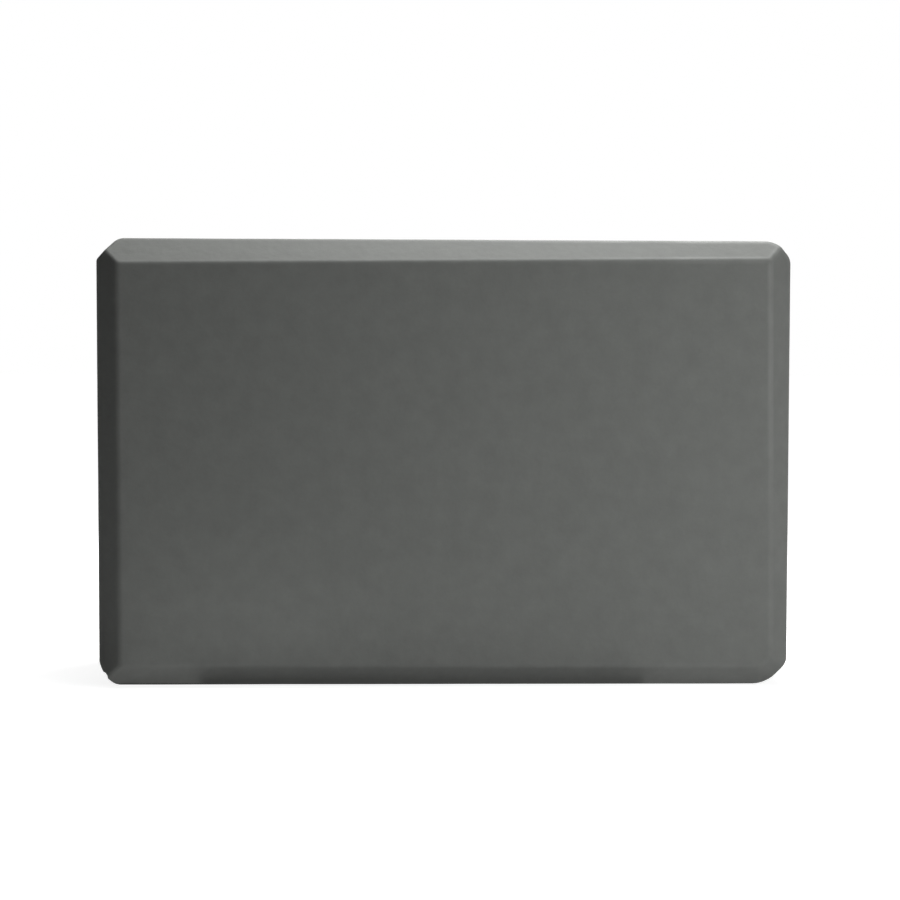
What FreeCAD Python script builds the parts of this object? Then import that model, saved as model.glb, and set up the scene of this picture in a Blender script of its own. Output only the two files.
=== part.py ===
"""Yoga block of closed-cell foam, standing on one long narrow side.

Sheets of foam are glued face to face into a stack. The stack is then trimmed to
size and bevelled along all twelve edges, so the sheets and the glue films between
them end flush with each other on every side.

Frame: millimetres, X along the block's length, Y through the stack from the front
face to the rear face, Z up. The origin is the middle of the side that it stands on.
"""

import os

import FreeCAD
import Part

# Driving dimensions
BLOCK_LENGTH = 230.0
BLOCK_HEIGHT = 148.0
SHEET_THICKNESS = 24.9
GLUE_THICKNESS = 0.15
# Leg of the 45 degree bevel, the same on every edge
BEVEL_LEG = 7.0
# Softness of every edge that the bevelling leaves, as foam never keeps a knife edge
EDGE_RADIUS = 2.0

# The stack from front to rear, as pairs of a piece's name and its thickness
STACK = [
    ("front_foam_sheet", SHEET_THICKNESS),
    ("front_glue_film", GLUE_THICKNESS),
    ("middle_foam_sheet", SHEET_THICKNESS),
    ("rear_glue_film", GLUE_THICKNESS),
    ("rear_foam_sheet", SHEET_THICKNESS),
]
BLOCK_THICKNESS = sum(thickness for _, thickness in STACK)

ALONG_LENGTH = FreeCAD.Vector(1, 0, 0)
THROUGH_STACK = FreeCAD.Vector(0, 1, 0)
UPWARDS = FreeCAD.Vector(0, 0, 1)


def slice_of_stack(depth, thickness):
    """A plain box as long and high as the block, starting at a depth behind its front."""
    corner = FreeCAD.Vector(-BLOCK_LENGTH / 2, depth - BLOCK_THICKNESS / 2, 0)
    return Part.makeBox(BLOCK_LENGTH, thickness, BLOCK_HEIGHT, corner)


def edges_along(shape, direction):
    """The straight edges of a shape that run in one direction."""
    found = []
    for edge in shape.Edges:
        run = edge.Vertexes[-1].Point - edge.Vertexes[0].Point
        if run.cross(direction).Length < 1e-6 * run.Length:
            found.append(edge)
    return found


def stack_bevelled_along(direction):
    """The trimmed stack with only the four edges in one direction bevelled."""
    stack = slice_of_stack(0, BLOCK_THICKNESS)
    return stack.makeChamfer(BEVEL_LEG, edges_along(stack, direction))


def bevelled_block():
    """The block with all twelve edges bevelled and every edge softened.

    It is what three stacks share, each bevelled in its own direction, so the bevels
    meet in mitres at the corners, as the straight passes of a cutter leave them.
    """
    block = stack_bevelled_along(ALONG_LENGTH)
    for direction in (THROUGH_STACK, UPWARDS):
        block = block.common(stack_bevelled_along(direction))
    block = block.removeSplitter()
    return block.makeFillet(EDGE_RADIUS, block.Edges)


def pieces_of(block):
    """Each piece of the stack by name: its own slice of the finished block."""
    pieces = {}
    depth = 0.0
    for name, thickness in STACK:
        pieces[name] = block.common(slice_of_stack(depth, thickness))
        depth += thickness
    return pieces


def main():
    os.makedirs("parts", exist_ok=True)
    for name, piece in pieces_of(bevelled_block()).items():
        piece.exportStep(f"parts/{name}.step")
        box = piece.BoundBox
        print(
            f"{name}: valid {piece.isValid()}, solids {len(piece.Solids)}, "
            f"{piece.Volume / 1000:.2f} cm3, "
            f"{box.XLength:.2f} x {box.YLength:.2f} x {box.ZLength:.2f} mm"
        )


main()
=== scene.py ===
"""Looks of a yoga block: three foam sheets, glued face to face and bevelled as one block.

Metres, in the part's own frame: X along the block, Y from the front face to the rear, Z up.
Every piece is a fine lattice that Geometry Nodes wrap round the block's core, which rounds
every edge and keeps the sheets flush with each other at the glue lines.
"""

import math
from collections import namedtuple

import bmesh
import bpy
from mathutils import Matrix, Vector


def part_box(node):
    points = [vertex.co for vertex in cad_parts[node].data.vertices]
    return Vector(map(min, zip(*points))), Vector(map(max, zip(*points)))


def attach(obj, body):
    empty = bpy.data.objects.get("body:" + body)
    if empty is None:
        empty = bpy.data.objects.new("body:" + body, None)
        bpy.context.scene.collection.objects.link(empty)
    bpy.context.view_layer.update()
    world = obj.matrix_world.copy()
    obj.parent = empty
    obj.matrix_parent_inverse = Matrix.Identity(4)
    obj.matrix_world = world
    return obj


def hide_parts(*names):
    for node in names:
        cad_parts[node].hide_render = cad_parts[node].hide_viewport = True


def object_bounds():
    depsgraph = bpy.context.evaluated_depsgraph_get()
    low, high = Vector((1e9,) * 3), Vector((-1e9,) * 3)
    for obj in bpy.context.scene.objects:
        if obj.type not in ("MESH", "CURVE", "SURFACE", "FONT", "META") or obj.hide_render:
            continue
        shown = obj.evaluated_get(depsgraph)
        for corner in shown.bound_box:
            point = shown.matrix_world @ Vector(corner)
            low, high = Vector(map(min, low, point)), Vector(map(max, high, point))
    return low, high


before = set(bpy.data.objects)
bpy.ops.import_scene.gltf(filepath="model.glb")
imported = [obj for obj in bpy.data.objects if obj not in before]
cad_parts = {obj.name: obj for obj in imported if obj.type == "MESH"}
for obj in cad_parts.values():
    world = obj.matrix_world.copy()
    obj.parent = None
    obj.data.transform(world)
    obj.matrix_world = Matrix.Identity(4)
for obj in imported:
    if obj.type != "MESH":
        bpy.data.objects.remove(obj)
cad_low, cad_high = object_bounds()

MM = 0.001

# The block's middle, its half sizes and the directions that its six sides face
MIDDLE = (cad_low + cad_high) / 2
HALF = (cad_high - cad_low) / 2
LEFT, RIGHT = Vector((-1, 0, 0)), Vector((1, 0, 0))
FRONT, REAR = Vector((0, -1, 0)), Vector((0, 1, 0))
BOTTOM, TOP = Vector((0, 0, -1)), Vector((0, 0, 1))

# Foam sheets: their CAD solid, whether each big face is open, their shade and their pattern's shift
FoamSheet = namedtuple("FoamSheet", "name solid front_open rear_open shade pattern_shift")
FOAM_SHEETS = [
    FoamSheet("front_foam", "front_foam_sheet", True, False, 1.0, (0.0, 0.0, 0.0)),
    FoamSheet("middle_foam", "middle_foam_sheet", False, False, 0.97, (0.3, 0.1, 0.2)),
    FoamSheet("rear_foam", "rear_foam_sheet", False, True, 1.02, (0.7, 0.4, 0.5)),
]
# Glue films and their CAD solid
GlueFilm = namedtuple("GlueFilm", "name solid")
FRONT_GLUE = GlueFilm("front_glue", "front_glue_film")
REAR_GLUE = GlueFilm("rear_glue", "rear_glue_film")

# Rounding that every cut edge of the foam has
EDGE_RADIUS = 2.0 * MM
# How far each end of the block leans in at its foot, compared with its top
LEFT_LEAN = 0.54 * MM
RIGHT_LEAN = 0.13 * MM
# Legs of the 45 degree bevels round the big faces, at the low and the high end of each run
EVEN_BEVEL = (7.0 * MM, 7.0 * MM)
FRONT_TOP_BEVEL = (8.4 * MM, 6.1 * MM)
FRONT_BOTTOM_BEVEL = (7.4 * MM, 6.8 * MM)
FRONT_LEFT_BEVEL = (8.0 * MM, 7.2 * MM)
FRONT_RIGHT_BEVEL = (6.4 * MM, 8.0 * MM)
FACE_BEVELS = [
    (FRONT, TOP, FRONT_TOP_BEVEL),
    (FRONT, BOTTOM, FRONT_BOTTOM_BEVEL),
    (FRONT, LEFT, FRONT_LEFT_BEVEL),
    (FRONT, RIGHT, FRONT_RIGHT_BEVEL),
    (REAR, TOP, EVEN_BEVEL),
    (REAR, BOTTOM, EVEN_BEVEL),
    (REAR, LEFT, EVEN_BEVEL),
    (REAR, RIGHT, EVEN_BEVEL),
]
# Worn round between the front face and its left bevel
FRONT_LEFT_ROUND = 3.4 * MM
# Bevels through the stack: two sides, the leg, and the worn round towards each of the sides
CornerBevel = namedtuple("CornerBevel", "side other_side leg side_round other_round")
TOP_LEFT_CORNER = CornerBevel(TOP, LEFT, 7.1 * MM, 5.0 * MM, EDGE_RADIUS)
TOP_RIGHT_CORNER = CornerBevel(TOP, RIGHT, 5.7 * MM, 8.0 * MM, 5.0 * MM)
BOTTOM_LEFT_CORNER = CornerBevel(BOTTOM, LEFT, 5.8 * MM, 4.5 * MM, 14.0 * MM)
BOTTOM_RIGHT_CORNER = CornerBevel(BOTTOM, RIGHT, 7.1 * MM, 12.0 * MM, 6.0 * MM)
CORNER_BEVELS = [TOP_LEFT_CORNER, TOP_RIGHT_CORNER, BOTTOM_LEFT_CORNER, BOTTOM_RIGHT_CORNER]
# The bevels of the big faces run round the most worn corner with no mitre: their legs there
ROUNDED_CORNER = BOTTOM_RIGHT_CORNER
ROUNDED_CORNER_LEGS = [(FRONT, 6.6 * MM), (REAR, EVEN_BEVEL[0])]
# Steps in which a worn edge turns, with a flat after each step but the last
WORN_EDGE_STEPS = 8
# Cube that the core is cut from, and how near to a cut a corner counts as on it
UNCUT_SIZE = 4 * max(HALF)
CUT_TOLERANCE = 0.001 * MM

# Pitch of the lattice: fine where the edges round, coarse on the flats, finest at a glue line
EDGE_ZONE = 16.0 * MM
FINE_PITCH = 0.5 * MM
COARSE_PITCH = 2.0 * MM
SEAM_ZONE = 0.8 * MM
SEAM_PITCH = 0.1 * MM
# An edge that turns more than this is shaded as sharp
SHARP_ANGLE = math.radians(40)

# Glue line: the cut ends of the sheets ease back from it in a shallow groove
SEAM_GROOVE_DEPTH = 0.25 * MM
SEAM_GROOVE_HALF_WIDTH = 0.5 * MM
# Nick in the lower left corner of the front, drawn out along the edge that it sits on
NICK_PLACE = cad_low + Vector((2.8, 7.5, 3.5)) * MM
NICK_SQUEEZE = (1.0, 0.35, 1.0)
NICK_DEPTH = 0.5 * MM
NICK_FLOOR = 0.7 * MM
NICK_REACH = 1.6 * MM
# Unevenness of the trimmed sides and of the big faces, always inwards
SIDE_WAVE_HEIGHT = 0.15 * MM
FACE_WAVE_HEIGHT = 0.04 * MM
WAVE_LENGTH = 30.0 * MM
WAVE_DETAIL = 2.0
WAVE_SEED = 7.0
# Reach of the lightening at an edge, from the edge on to the flats: part wear, part painted
# highlight
WEAR_AND_HIGHLIGHT_WIDTH = 0.8 * MM
# The corner round which the edges get a painted highlight: how many times as much edge lightening
# and smoothing they get there, and where that starts and ends to fade
HIGHLIGHT_CORNER = Vector((cad_high.x, cad_low.y, cad_high.z))
HIGHLIGHT_CORNER_GAIN = 5.0
HIGHLIGHT_FADE_START = 20.0 * MM
HIGHLIGHT_FADE_END = 110.0 * MM
# Attribute that takes the edge wear and painted highlight from the mesh to the finish
WEAR_AND_HIGHLIGHT_ATTRIBUTE = "edge_rub"
# Inputs of the wrapping tree
WRAPPING_INPUTS = [
    ("Core", "NodeSocketObject"),
    ("Edge Radius", "NodeSocketFloat"),
    ("Front Seam", "NodeSocketFloat"),
    ("Rear Seam", "NodeSocketFloat"),
    ("Groove Depth", "NodeSocketFloat"),
    ("Groove Half Width", "NodeSocketFloat"),
    ("Side Wave Height", "NodeSocketFloat"),
    ("Face Wave Height", "NodeSocketFloat"),
    ("Wave Length", "NodeSocketFloat"),
    ("Wave Seed", "NodeSocketFloat"),
    ("Nick Place", "NodeSocketVector"),
    ("Nick Squeeze", "NodeSocketVector"),
    ("Nick Depth", "NodeSocketFloat"),
    ("Nick Floor", "NodeSocketFloat"),
    ("Nick Reach", "NodeSocketFloat"),
    ("Rub Width", "NodeSocketFloat"),
    ("Held Corner", "NodeSocketVector"),
    ("Held Rub", "NodeSocketFloat"),
    ("Held Fade Start", "NodeSocketFloat"),
    ("Held Fade End", "NodeSocketFloat"),
    ("Finish", "NodeSocketMaterial"),
]

# Finish of the foam: linear colours, and its skin of fine cells, low pebbles and faint clouds
FOAM_COLOUR = (0.118, 0.122, 0.116, 1.0)
GLUE_COLOUR = (0.060, 0.062, 0.059, 1.0)
FOAM_SKIN = {
    "Cell Size": 0.35 * MM,
    "Cell Contrast": 0.045,
    "Pebble Size": 2.2 * MM,
    "Pebble Height": 5.5,
    "Cloud Size": 6.0 * MM,
    "Cloud Contrast": 0.32,
}
PEBBLE_DETAIL = 1.0
CLOUD_DETAIL = 5.0
CLOUD_ROUGHNESS = 0.6
# Roughness where the clouds are dark and where they are light, and the weak gloss of foam
FOAM_ROUGHNESS = (0.64, 0.76)
FOAM_SPECULAR = 0.15
SKIN_BUMP_STRENGTH = 0.25
SKIN_BUMP_HEIGHT = 0.05 * MM
# Worn edges: their broken patches, and how much lighter and smoother they get; the lightening is
# partly a painted highlight
WEAR_AND_HIGHLIGHT_PATCH_SIZE = 14.0 * MM
WEAR_AND_HIGHLIGHT_PATCH_DETAIL = 3.0
WEAR_AND_HIGHLIGHT_LIGHTENING = 0.05
RUB_SMOOTHING = 0.06
# Sockets of a Mix node that mixes colours: its two inputs and its result
MIX_COLOUR_A, MIX_COLOUR_B, MIX_COLOUR_RESULT = 6, 7, 2

# Camera
CAMERA_PLACE = (-0.0319, -0.8336, 0.1235)
CAMERA_PITCH_DOWN = 3.214
CAMERA_YAW_RIGHT = 2.381
CAMERA_ROLL = 0.237
SENSOR_WIDTH = 36.0
CAMERA_LENS = 97.08

# Stage: the floor's paint, its own white near the block, and where that grows to full white
WHITE = (1.0, 1.0, 1.0, 1.0)
FLOOR_HALF_WIDTH = 4.0
FLOOR_PAINT = (0.5, 0.5, 0.5, 1.0)
FLOOR_GLOW = 0.85
SHADOW_REACH = (0.25, 0.6)
# Level of the dim studio round the block, and how squarely behind it the white backdrop stands
STUDIO_LEVEL = 0.05
BACKDROP_FACING = (0.9, 0.99)
# Soft lamps: place, the way they face, size and power. The cards lie on the floor and light upwards
SoftLamp = namedtuple("SoftLamp", "name place facing size power")
TO_THE_BLOCK = None
CARD_HEIGHT = 0.5 * MM
SOFT_LAMPS = [
    SoftLamp("overhead_softbox", (0.055, 0.05, 0.453), TO_THE_BLOCK, (0.28, 0.28), 3.98),
    SoftLamp("right_softbox", (0.278, -0.292, 0.12), TO_THE_BLOCK, (0.2, 0.2), 0.675),
    SoftLamp("low_right_softbox", (0.25, -0.47, 0.04), TO_THE_BLOCK, (0.2, 0.06), 0.47),
    SoftLamp("rear_softbox", (-0.16, 0.5, 0.22), TO_THE_BLOCK, (0.3, 0.2), 0.9),
    SoftLamp("front_card", (0.005, -0.1, CARD_HEIGHT), TOP, (0.13, 0.1), 0.0135),
    SoftLamp("front_left_card", (-0.0735, -0.0775, CARD_HEIGHT), TOP, (0.07, 0.045), 0.01),
    SoftLamp("left_foot_card", (-0.0985, -0.0655, CARD_HEIGHT), TOP, (0.035, 0.069), 0.0023),
    SoftLamp("right_foot_card", (0.0865, -0.053, CARD_HEIGHT), TOP, (0.040, 0.046), 0.0017),
]


def node(tree, kind, inputs=None, **settings):
    """A new node with its settings, and its inputs linked or set by name or number."""
    made = tree.nodes.new(kind)
    for key, value in settings.items():
        setattr(made, key, value)
    for key, value in (inputs or {}).items():
        if isinstance(value, bpy.types.NodeSocket):
            tree.links.new(value, made.inputs[key])
        else:
            made.inputs[key].default_value = value
    return made


def math_node(tree, operation, first, second=0.0):
    """Result of a sum on one or two values."""
    return node(tree, "ShaderNodeMath", {0: first, 1: second}, operation=operation).outputs[0]


def vector_node(tree, operation, first, second=None):
    """The node of a vector sum, as its result may be a vector or a value."""
    inputs = {0: first}
    if second is not None:
        inputs[1] = second
    return node(tree, "ShaderNodeVectorMath", inputs, operation=operation)


def fade(tree, value, start, end, first, last):
    """Goes smoothly from first to last while the value goes from start to end."""
    return node(
        tree,
        "ShaderNodeMapRange",
        {"Value": value, "From Min": start, "From Max": end, "To Min": first, "To Max": last},
        interpolation_type="SMOOTHSTEP",
    ).outputs[0]


def reach(direction):
    """Distance from the block's middle to its side in one direction."""
    return abs(direction.dot(HALF))


def bevel_plane(side, other_side, leg_low, leg_high):
    """Direction and distance of the bevel between two sides, with its leg at each end."""
    run = Vector([abs(part) for part in side.cross(other_side)])
    taper = (leg_high - leg_low) / (2 * reach(run))
    across = side + other_side + taper * run
    distance = reach(side) + reach(other_side) - (leg_low + leg_high) / 2
    return across.normalized(), distance / across.length


def leaning_plane(end, lean):
    """Direction and distance of an end of the block that leans in towards its foot."""
    across = end + BOTTOM * lean / (2 * reach(BOTTOM))
    return across.normalized(), (reach(end) - lean / 2) / across.length


def worn_edge_planes(plane, other_plane, radius):
    """Flats that touch the round between two planes of the block."""
    direction, distance = plane
    other_direction, other_distance = other_plane
    planes = []
    for step in range(1, WORN_EDGE_STEPS):
        share = step / WORN_EDGE_STEPS
        across = direction.lerp(other_direction, share)
        to_centre = (1 - share) * (distance - radius) + share * (other_distance - radius)
        planes.append((across.normalized(), to_centre / across.length + radius))
    return planes


def corner_planes(corner):
    """The bevel of a corner through the stack, and the flats of its two worn edges."""
    side, other_side, leg, side_round, other_round = corner
    bevel = bevel_plane(side, other_side, leg, leg)
    planes = [bevel]
    planes += worn_edge_planes((side, reach(side)), bevel, side_round)
    planes += worn_edge_planes((other_side, reach(other_side)), bevel, other_round)
    return planes


def rounded_bevel_planes(face, leg, corner):
    """Flats of a big face's bevel where it runs round a worn corner."""
    planes = []
    for direction, distance in corner_planes(corner):
        across = face + direction
        planes.append((across.normalized(), (reach(face) + distance - leg) / across.length))
    return planes


def block_planes():
    """Every plane of the block, as its outward direction and its distance from the middle."""
    planes = [(side, reach(side)) for side in (FRONT, REAR, BOTTOM, TOP)]
    planes += [leaning_plane(LEFT, LEFT_LEAN), leaning_plane(RIGHT, RIGHT_LEAN)]
    for side, other_side, (leg_low, leg_high) in FACE_BEVELS:
        planes.append(bevel_plane(side, other_side, leg_low, leg_high))
    left_bevel = bevel_plane(FRONT, LEFT, *FRONT_LEFT_BEVEL)
    planes += worn_edge_planes((FRONT, reach(FRONT)), left_bevel, FRONT_LEFT_ROUND)
    for corner in CORNER_BEVELS:
        planes += corner_planes(corner)
    for face, leg in ROUNDED_CORNER_LEGS:
        planes += rounded_bevel_planes(face, leg, ROUNDED_CORNER)
    return planes


def make_core():
    """The sharp core of the block, one edge radius smaller all round."""
    shape = bmesh.new()
    bmesh.ops.create_cube(shape, size=UNCUT_SIZE)
    bmesh.ops.translate(shape, verts=shape.verts, vec=MIDDLE)
    for direction, distance in block_planes():
        everything = shape.verts[:] + shape.edges[:] + shape.faces[:]
        cut = bmesh.ops.bisect_plane(
            shape,
            geom=everything,
            dist=CUT_TOLERANCE,
            plane_co=MIDDLE + direction * (distance - EDGE_RADIUS),
            plane_no=direction,
            clear_outer=True,
        )
        rim = [item for item in cut["geom_cut"] if isinstance(item, bmesh.types.BMEdge)]
        if rim:
            bmesh.ops.edgeloop_fill(shape, edges=rim)
    bmesh.ops.recalc_face_normals(shape, faces=shape.faces)
    mesh = bpy.data.meshes.new("block_core")
    shape.to_mesh(mesh)
    shape.free()
    core = bpy.data.objects.new("block_core", mesh)
    bpy.context.scene.collection.objects.link(core)
    return core


def ruled_lines(start, stretches):
    """Places of the lattice's lines: each stretch is its length and the pitch wanted on it."""
    lines = [start]
    for length, pitch in stretches:
        steps = max(1, round(length / pitch))
        origin = lines[-1]
        lines += [origin + length * step / steps for step in range(1, steps + 1)]
    return lines


def side_lines(low, high):
    """Lines across the length or the height, fine towards both ends."""
    flat = high - low - 2 * EDGE_ZONE
    return ruled_lines(low, [(EDGE_ZONE, FINE_PITCH), (flat, COARSE_PITCH), (EDGE_ZONE, FINE_PITCH)])


def sheet_lines(low, high, front_open, rear_open):
    """Lines through a sheet: fine by a big face that is open, finest by a glue line."""
    ends = []
    for is_open in (front_open, rear_open):
        ends.append((EDGE_ZONE, FINE_PITCH) if is_open else (SEAM_ZONE, SEAM_PITCH))
    flat = high - low - ends[0][0] - ends[1][0]
    return ruled_lines(low, [ends[0], (flat, COARSE_PITCH), ends[1]])


def lattice_mesh(name, lines, front_open, rear_open):
    """A closed box of lattice lines. A side that lies on a glue line is one flat face."""
    shape = bmesh.new()
    last = [len(places) - 1 for places in lines]
    corners = {}

    def corner(*place):
        if place not in corners:
            corners[place] = shape.verts.new([lines[axis][place[axis]] for axis in range(3)])
        return corners[place]

    def grid(fixed_axis, fixed_place):
        first_axis, second_axis = [axis for axis in range(3) if axis != fixed_axis]
        for first in range(last[first_axis]):
            for second in range(last[second_axis]):
                loop = []
                for step_first, step_second in ((0, 0), (1, 0), (1, 1), (0, 1)):
                    place = [fixed_place] * 3
                    place[first_axis] = first + step_first
                    place[second_axis] = second + step_second
                    loop.append(corner(*place))
                shape.faces.new(loop)

    def cap(depth):
        loop = [corner(place, depth, 0) for place in range(last[0])]
        loop += [corner(last[0], depth, place) for place in range(last[2])]
        loop += [corner(place, depth, last[2]) for place in range(last[0], 0, -1)]
        loop += [corner(0, depth, place) for place in range(last[2], 0, -1)]
        shape.faces.new(loop)

    for axis in (0, 2):
        grid(axis, 0)
        grid(axis, last[axis])
    for depth, is_open in ((0, front_open), (last[1], rear_open)):
        if is_open:
            grid(1, depth)
        else:
            cap(depth)
    bmesh.ops.recalc_face_normals(shape, faces=shape.faces)
    mesh = bpy.data.meshes.new(name)
    shape.to_mesh(mesh)
    shape.free()
    return mesh


def off_core(tree, nearest, outward, distance):
    """The place at a distance out from the nearest place on the core."""
    step = node(
        tree, "ShaderNodeVectorMath", {0: outward, "Scale": distance}, operation="SCALE"
    ).outputs[0]
    return vector_node(tree, "ADD", nearest, step).outputs[0]


def wave_inset(tree, given, nearest, outward):
    """Waves of the trimmed sides, weaker on the big faces."""
    wave = node(
        tree,
        "ShaderNodeTexNoise",
        {
            "Vector": nearest,
            "W": given["Wave Seed"],
            "Scale": math_node(tree, "DIVIDE", 1.0, given["Wave Length"]),
            "Detail": WAVE_DETAIL,
        },
        noise_dimensions="4D",
    ).outputs[0]
    facing = node(tree, "ShaderNodeSeparateXYZ", {0: outward}).outputs["Y"]
    height = node(
        tree,
        "ShaderNodeMix",
        {
            "Factor": math_node(tree, "MULTIPLY", facing, facing),
            "A": given["Side Wave Height"],
            "B": given["Face Wave Height"],
        },
    ).outputs[0]
    return math_node(tree, "MULTIPLY", wave, height)


def groove_inset(tree, given, start):
    """Shallow groove along the glue lines."""
    depth = node(tree, "ShaderNodeSeparateXYZ", {0: start}).outputs["Y"]
    from_seams = []
    for seam in ("Front Seam", "Rear Seam"):
        gap = math_node(tree, "SUBTRACT", depth, given[seam])
        from_seams.append(math_node(tree, "ABSOLUTE", gap))
    from_seam = math_node(tree, "MINIMUM", *from_seams)
    return fade(tree, from_seam, 0.0, given["Groove Half Width"], given["Groove Depth"], 0.0)


def nick_inset(tree, given, surface):
    """Nick in a corner, deepest on its floor."""
    from_nick = vector_node(tree, "SUBTRACT", surface, given["Nick Place"]).outputs[0]
    from_nick = vector_node(tree, "MULTIPLY", from_nick, given["Nick Squeeze"]).outputs[0]
    from_nick = vector_node(tree, "LENGTH", from_nick).outputs["Value"]
    return fade(tree, from_nick, given["Nick Floor"], given["Nick Reach"], given["Nick Depth"], 0.0)


def wear_and_highlight_mask(tree, given, core, nearest):
    """How much each place is worn and given a painted highlight: full at an edge, and more round the
    highlight corner.
    """
    from_edge = node(
        tree,
        "GeometryNodeProximity",
        {0: core, "Sample Position": nearest},
        target_element="EDGES",
    ).outputs["Distance"]
    wear_and_highlight = fade(tree, from_edge, 0.0, given["Rub Width"], 1.0, 0.0)
    # Round this corner the edge lightening is a painted highlight, and stronger
    from_highlight_corner = vector_node(tree, "DISTANCE", nearest, given["Held Corner"]).outputs["Value"]
    fade_start, fade_end = given["Held Fade Start"], given["Held Fade End"]
    highlight_gain = fade(tree, from_highlight_corner, fade_start, fade_end, given["Held Rub"], 1.0)
    return math_node(tree, "MULTIPLY", wear_and_highlight, highlight_gain)


def make_wrapping_tree():
    """Geometry Nodes that wrap a lattice round the core, and its inputs' identifiers by name."""
    tree = bpy.data.node_groups.new("wrapped_foam", "GeometryNodeTree")
    identifiers = {}
    tree.interface.new_socket("Lattice", in_out="INPUT", socket_type="NodeSocketGeometry")
    for name, kind in WRAPPING_INPUTS:
        socket = tree.interface.new_socket(name, in_out="INPUT", socket_type=kind)
        identifiers[name] = socket.identifier
    tree.interface.new_socket("Piece", in_out="OUTPUT", socket_type="NodeSocketGeometry")
    given = node(tree, "NodeGroupInput").outputs

    # Nearest place on the core, and the way out from it
    start = node(tree, "GeometryNodeInputPosition").outputs[0]
    core = node(tree, "GeometryNodeObjectInfo", {"Object": given["Core"]}).outputs["Geometry"]
    nearest = node(
        tree,
        "GeometryNodeProximity",
        {0: core, "Sample Position": start},
        target_element="FACES",
    ).outputs["Position"]
    outward = vector_node(tree, "SUBTRACT", start, nearest).outputs[0]
    outward = vector_node(tree, "NORMALIZE", outward).outputs[0]

    # Distance to keep from the core
    surface = off_core(tree, nearest, outward, given["Edge Radius"])
    inset = wave_inset(tree, given, nearest, outward)
    inset = math_node(tree, "ADD", inset, groove_inset(tree, given, start))
    inset = math_node(tree, "ADD", inset, nick_inset(tree, given, surface))
    distance = math_node(tree, "SUBTRACT", given["Edge Radius"], inset)
    place = off_core(tree, nearest, outward, distance)

    # Edge wear and painted highlight, kept for the finish
    wear_and_highlight = wear_and_highlight_mask(tree, given, core, nearest)
    shape = node(
        tree,
        "GeometryNodeStoreNamedAttribute",
        {"Geometry": given["Lattice"], "Name": WEAR_AND_HIGHLIGHT_ATTRIBUTE, "Value": wear_and_highlight},
        data_type="FLOAT",
        domain="POINT",
    ).outputs[0]
    shape = node(tree, "GeometryNodeSetPosition", {"Geometry": shape, "Position": place}).outputs[0]
    shape = node(tree, "GeometryNodeSetShadeSmooth", {"Geometry": shape}).outputs[0]
    shape = node(tree, "GeometryNodeRealizeInstances", {"Geometry": shape}).outputs[0]
    shape = node(
        tree, "GeometryNodeSetMaterial", {"Geometry": shape, "Material": given["Finish"]}
    ).outputs[0]
    node(tree, "NodeGroupOutput", {0: shape})
    return tree, identifiers


def wrapped_piece(name, lattice, tree, identifiers, values):
    """A piece whose lattice has been wrapped round the core, as a plain mesh."""
    raw = bpy.data.objects.new(name + "_lattice", lattice)
    bpy.context.scene.collection.objects.link(raw)
    wrapping = raw.modifiers.new("wrapping", "NODES")
    wrapping.node_group = tree
    for key, value in values.items():
        wrapping[identifiers[key]] = value
    graph = bpy.context.evaluated_depsgraph_get()
    mesh = bpy.data.meshes.new_from_object(raw.evaluated_get(graph), depsgraph=graph)
    bpy.data.objects.remove(raw)
    mesh.name = name
    mesh.set_sharp_from_angle(angle=SHARP_ANGLE)
    piece = bpy.data.objects.new(name, mesh)
    bpy.context.scene.collection.objects.link(piece)
    return piece


def noise(tree, place, size, detail, **more):
    """Soft random patches of about one size."""
    scale = math_node(tree, "DIVIDE", 1.0, size)
    inputs = {"Vector": place, "Scale": scale, "Detail": detail, **more}
    return node(tree, "ShaderNodeTexNoise", inputs).outputs[0]


def make_closed_cell_group():
    """Shader group of the foam's skin: fine closed cells, low pebbles and faint clouds."""
    group = bpy.data.node_groups.new("closed_cells", "ShaderNodeTree")
    group.interface.new_socket("Place", in_out="INPUT", socket_type="NodeSocketVector")
    for name in FOAM_SKIN:
        group.interface.new_socket(name, in_out="INPUT", socket_type="NodeSocketFloat")
    for name in ("Shade", "Height", "Dullness"):
        group.interface.new_socket(name, in_out="OUTPUT", socket_type="NodeSocketFloat")
    given = node(group, "NodeGroupInput").outputs

    place = given["Place"]
    cells = node(
        group,
        "ShaderNodeTexVoronoi",
        {"Vector": place, "Scale": math_node(group, "DIVIDE", 1.0, given["Cell Size"])},
    ).outputs["Distance"]
    pebbles = noise(group, place, given["Pebble Size"], PEBBLE_DETAIL)
    clouds = noise(group, place, given["Cloud Size"], CLOUD_DETAIL, Roughness=CLOUD_ROUGHNESS)
    cell_shade = math_node(group, "SUBTRACT", 0.5, cells)
    cell_shade = math_node(group, "MULTIPLY", cell_shade, given["Cell Contrast"])
    cloud_shade = math_node(group, "SUBTRACT", clouds, 0.5)
    cloud_shade = math_node(group, "MULTIPLY", cloud_shade, given["Cloud Contrast"])
    shade = math_node(group, "ADD", cell_shade, cloud_shade)
    shade = math_node(group, "ADD", shade, 1.0)
    height = math_node(group, "MULTIPLY", pebbles, given["Pebble Height"])
    height = math_node(group, "ADD", height, cells)
    node(group, "NodeGroupOutput", {"Shade": shade, "Height": height, "Dullness": clouds})
    return group


def make_worn_and_highlit_group():
    """Shader group of worn edges with a painted highlight: a broken mask from the edge attribute."""
    group = bpy.data.node_groups.new("rubbed_edges", "ShaderNodeTree")
    group.interface.new_socket("Place", in_out="INPUT", socket_type="NodeSocketVector")
    group.interface.new_socket("Nearness", in_out="INPUT", socket_type="NodeSocketFloat")
    group.interface.new_socket("Patch Size", in_out="INPUT", socket_type="NodeSocketFloat")
    group.interface.new_socket("Rub", in_out="OUTPUT", socket_type="NodeSocketFloat")
    given = node(group, "NodeGroupInput").outputs
    patches = noise(group, given["Place"], given["Patch Size"], WEAR_AND_HIGHLIGHT_PATCH_DETAIL)
    node(group, "NodeGroupOutput", {"Rub": math_node(group, "MULTIPLY", given["Nearness"], patches)})
    return group


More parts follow.
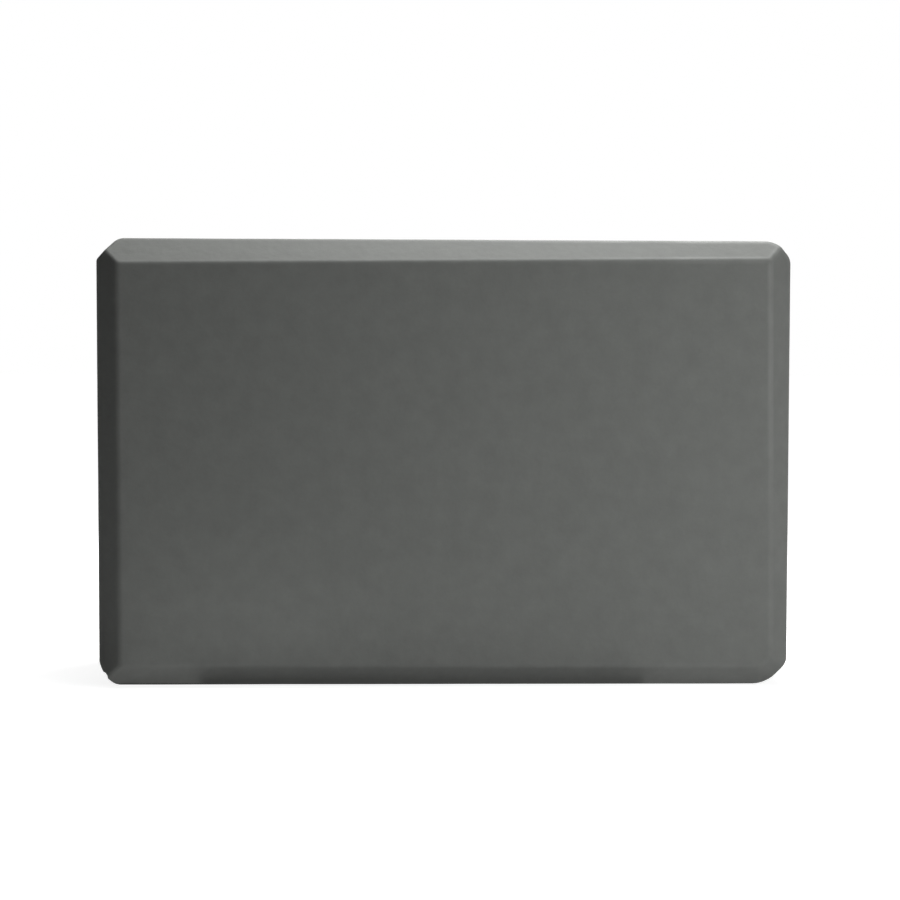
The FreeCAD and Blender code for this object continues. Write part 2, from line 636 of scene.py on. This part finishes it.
def foam_finish(name, colour, cells, worn_and_highlit_group, shade=1.0, shift=(0.0, 0.0, 0.0)):
    """Matte foam: its colour with cells and clouds, and edges worn lighter and smoother, the
    lightening partly a painted highlight.
    """
    finish = bpy.data.materials.new(name)
    finish.use_nodes = True
    tree = finish.node_tree
    surface = tree.nodes["Principled BSDF"]
    place = node(tree, "ShaderNodeTexCoord").outputs["Object"]
    place = node(tree, "ShaderNodeMapping", {"Vector": place, "Location": shift}).outputs[0]
    skin = node(tree, "ShaderNodeGroup", {"Place": place, **FOAM_SKIN}, node_tree=cells)
    nearness = node(tree, "ShaderNodeAttribute", attribute_name=WEAR_AND_HIGHLIGHT_ATTRIBUTE).outputs["Fac"]
    wear_and_highlight = node(
        tree,
        "ShaderNodeGroup",
        {"Place": place, "Nearness": nearness, "Patch Size": WEAR_AND_HIGHLIGHT_PATCH_SIZE},
        node_tree=worn_and_highlit_group,
    ).outputs["Rub"]

    tone = tuple(part * shade for part in colour[:3]) + (1.0,)
    # Edges lighter: partly wear, partly a painted highlight, strongest round the highlight corner
    brightness = math_node(tree, "MULTIPLY", wear_and_highlight, WEAR_AND_HIGHLIGHT_LIGHTENING)
    brightness = math_node(tree, "ADD", brightness, skin.outputs["Shade"])
    base = node(
        tree,
        "ShaderNodeMix",
        {"Factor": 1.0, MIX_COLOUR_A: tone, MIX_COLOUR_B: brightness},
        data_type="RGBA",
        blend_type="MULTIPLY",
    ).outputs[MIX_COLOUR_RESULT]
    tree.links.new(base, surface.inputs["Base Color"])
    smoothest, roughest = FOAM_ROUGHNESS
    roughness = node(
        tree,
        "ShaderNodeMapRange",
        {"Value": skin.outputs["Dullness"], "To Min": smoothest, "To Max": roughest},
    ).outputs[0]
    gloss = math_node(tree, "MULTIPLY", wear_and_highlight, RUB_SMOOTHING)
    roughness = math_node(tree, "SUBTRACT", roughness, gloss)
    tree.links.new(roughness, surface.inputs["Roughness"])
    bump = node(
        tree,
        "ShaderNodeBump",
        {
            "Height": skin.outputs["Height"],
            "Strength": SKIN_BUMP_STRENGTH,
            "Distance": SKIN_BUMP_HEIGHT,
        },
    ).outputs[0]
    tree.links.new(bump, surface.inputs["Normal"])
    surface.inputs["Specular IOR Level"].default_value = FOAM_SPECULAR
    return finish


def film_depth(solid):
    """How deep in the block the middle of a glue film lies."""
    low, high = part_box(solid)
    return (low.y + high.y) / 2


def wrapping_values(core):
    """Values of the wrapping tree's inputs that all pieces share."""
    return {
        "Core": core,
        "Edge Radius": EDGE_RADIUS,
        "Front Seam": film_depth(FRONT_GLUE.solid),
        "Rear Seam": film_depth(REAR_GLUE.solid),
        "Groove Depth": SEAM_GROOVE_DEPTH,
        "Groove Half Width": SEAM_GROOVE_HALF_WIDTH,
        "Side Wave Height": SIDE_WAVE_HEIGHT,
        "Face Wave Height": FACE_WAVE_HEIGHT,
        "Wave Length": WAVE_LENGTH,
        "Wave Seed": WAVE_SEED,
        "Nick Place": NICK_PLACE,
        "Nick Squeeze": NICK_SQUEEZE,
        "Nick Depth": NICK_DEPTH,
        "Nick Floor": NICK_FLOOR,
        "Nick Reach": NICK_REACH,
        "Rub Width": WEAR_AND_HIGHLIGHT_WIDTH,
        "Held Corner": HIGHLIGHT_CORNER,
        "Held Rub": HIGHLIGHT_CORNER_GAIN,
        "Held Fade Start": HIGHLIGHT_FADE_START,
        "Held Fade End": HIGHLIGHT_FADE_END,
    }


def make_block():
    """The five pieces of the stack, each in place of its CAD solid."""
    core = make_core()
    tree, identifiers = make_wrapping_tree()
    cells = make_closed_cell_group()
    worn_and_highlit_group = make_worn_and_highlit_group()
    wrapping = wrapping_values(core)
    across = side_lines(cad_low.x, cad_high.x)
    upward = side_lines(cad_low.z, cad_high.z)

    for name, solid, front_open, rear_open, shade, shift in FOAM_SHEETS:
        low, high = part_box(solid)
        through = sheet_lines(low.y, high.y, front_open, rear_open)
        lattice = lattice_mesh(name, (across, through, upward), front_open, rear_open)
        finish = foam_finish(name + "_finish", FOAM_COLOUR, cells, worn_and_highlit_group, shade, shift)
        piece = wrapped_piece(name, lattice, tree, identifiers, {**wrapping, "Finish": finish})
        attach(piece, "root")
        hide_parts(solid)

    glue = foam_finish("glue_finish", GLUE_COLOUR, cells, worn_and_highlit_group)
    for name, solid in (FRONT_GLUE, REAR_GLUE):
        low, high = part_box(solid)
        lattice = lattice_mesh(name, (across, [low.y, high.y], upward), False, False)
        piece = wrapped_piece(name, lattice, tree, identifiers, {**wrapping, "Finish": glue})
        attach(piece, "root")
        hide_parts(solid)
    bpy.data.objects.remove(core)


def make_camera():
    """The camera at the photograph's viewing angle."""
    lens = bpy.data.cameras.new("camera")
    lens.sensor_width = SENSOR_WIDTH
    lens.lens = CAMERA_LENS
    camera = bpy.data.objects.new("camera", lens)
    camera.location = CAMERA_PLACE
    camera.rotation_euler = (
        math.radians(90 - CAMERA_PITCH_DOWN),
        math.radians(-CAMERA_ROLL),
        math.radians(-CAMERA_YAW_RIGHT),
    )
    bpy.context.scene.collection.objects.link(camera)
    bpy.context.scene.camera = camera


def make_lamp(soft):
    """A rectangular soft lamp, which the camera itself does not see."""
    lamp = bpy.data.lights.new(soft.name, "AREA")
    lamp.shape = "RECTANGLE"
    lamp.size, lamp.size_y = soft.size
    lamp.energy = soft.power
    holder = bpy.data.objects.new(soft.name, lamp)
    holder.location = soft.place
    facing = soft.facing or MIDDLE - Vector(soft.place)
    holder.rotation_euler = facing.to_track_quat("-Z", "Y").to_euler()
    holder.visible_camera = False
    bpy.context.scene.collection.objects.link(holder)


def make_floor():
    """A pale floor that shows white to the camera, less the block's soft shadow."""
    mesh = bpy.data.meshes.new("floor")
    half = FLOOR_HALF_WIDTH
    mesh.from_pydata(
        [(-half, -half, 0), (half, -half, 0), (half, half, 0), (-half, half, 0)], [], [(0, 1, 2, 3)]
    )
    floor = bpy.data.objects.new("floor", mesh)
    bpy.context.scene.collection.objects.link(floor)
    paint = bpy.data.materials.new("floor_paint")
    paint.use_nodes = True
    tree = paint.node_tree
    tree.nodes.remove(tree.nodes["Principled BSDF"])
    lit = node(tree, "ShaderNodeBsdfDiffuse", {"Color": FLOOR_PAINT}).outputs[0]
    path = node(tree, "ShaderNodeLightPath").outputs
    shown = math_node(tree, "MAXIMUM", path["Is Camera Ray"], path["Is Glossy Ray"])
    shown = math_node(tree, "MAXIMUM", shown, path["Is Transmission Ray"])
    place = node(tree, "ShaderNodeTexCoord").outputs["Object"]
    from_block = vector_node(tree, "LENGTH", place).outputs["Value"]
    white = fade(tree, from_block, *SHADOW_REACH, FLOOR_GLOW, 1.0)
    glow = node(
        tree, "ShaderNodeEmission", {"Strength": math_node(tree, "MULTIPLY", shown, white)}
    ).outputs[0]
    both = node(tree, "ShaderNodeAddShader", {0: lit, 1: glow}).outputs[0]
    tree.links.new(both, tree.nodes["Material Output"].inputs["Surface"])
    mesh.materials.append(paint)


def make_surroundings():
    """White to the camera; for the rest, a dim studio with a white backdrop behind the block."""
    world = bpy.data.worlds.new("studio")
    bpy.context.scene.world = world
    world.use_nodes = True
    tree = world.node_tree
    path = node(tree, "ShaderNodeLightPath").outputs
    way = node(tree, "ShaderNodeTexCoord").outputs["Generated"]
    rearward = node(tree, "ShaderNodeSeparateXYZ", {0: way}).outputs["Y"]
    backdrop = fade(tree, rearward, *BACKDROP_FACING, 0.0, 1.0)
    mirrored = math_node(tree, "MAXIMUM", path["Is Glossy Ray"], path["Is Transmission Ray"])
    mirrored = math_node(tree, "MULTIPLY", mirrored, backdrop)
    shown = math_node(tree, "MAXIMUM", path["Is Camera Ray"], mirrored)
    strength = node(
        tree, "ShaderNodeMapRange", {"Value": shown, "To Min": STUDIO_LEVEL, "To Max": 1.0}
    ).outputs[0]
    tree.links.new(strength, tree.nodes["Background"].inputs["Strength"])
    tree.nodes["Background"].inputs["Color"].default_value = WHITE
    bpy.context.scene.view_settings.view_transform = "Standard"


make_camera()
make_block()
make_floor()
make_surroundings()
for soft_lamp in SOFT_LAMPS:
    make_lamp(soft_lamp)
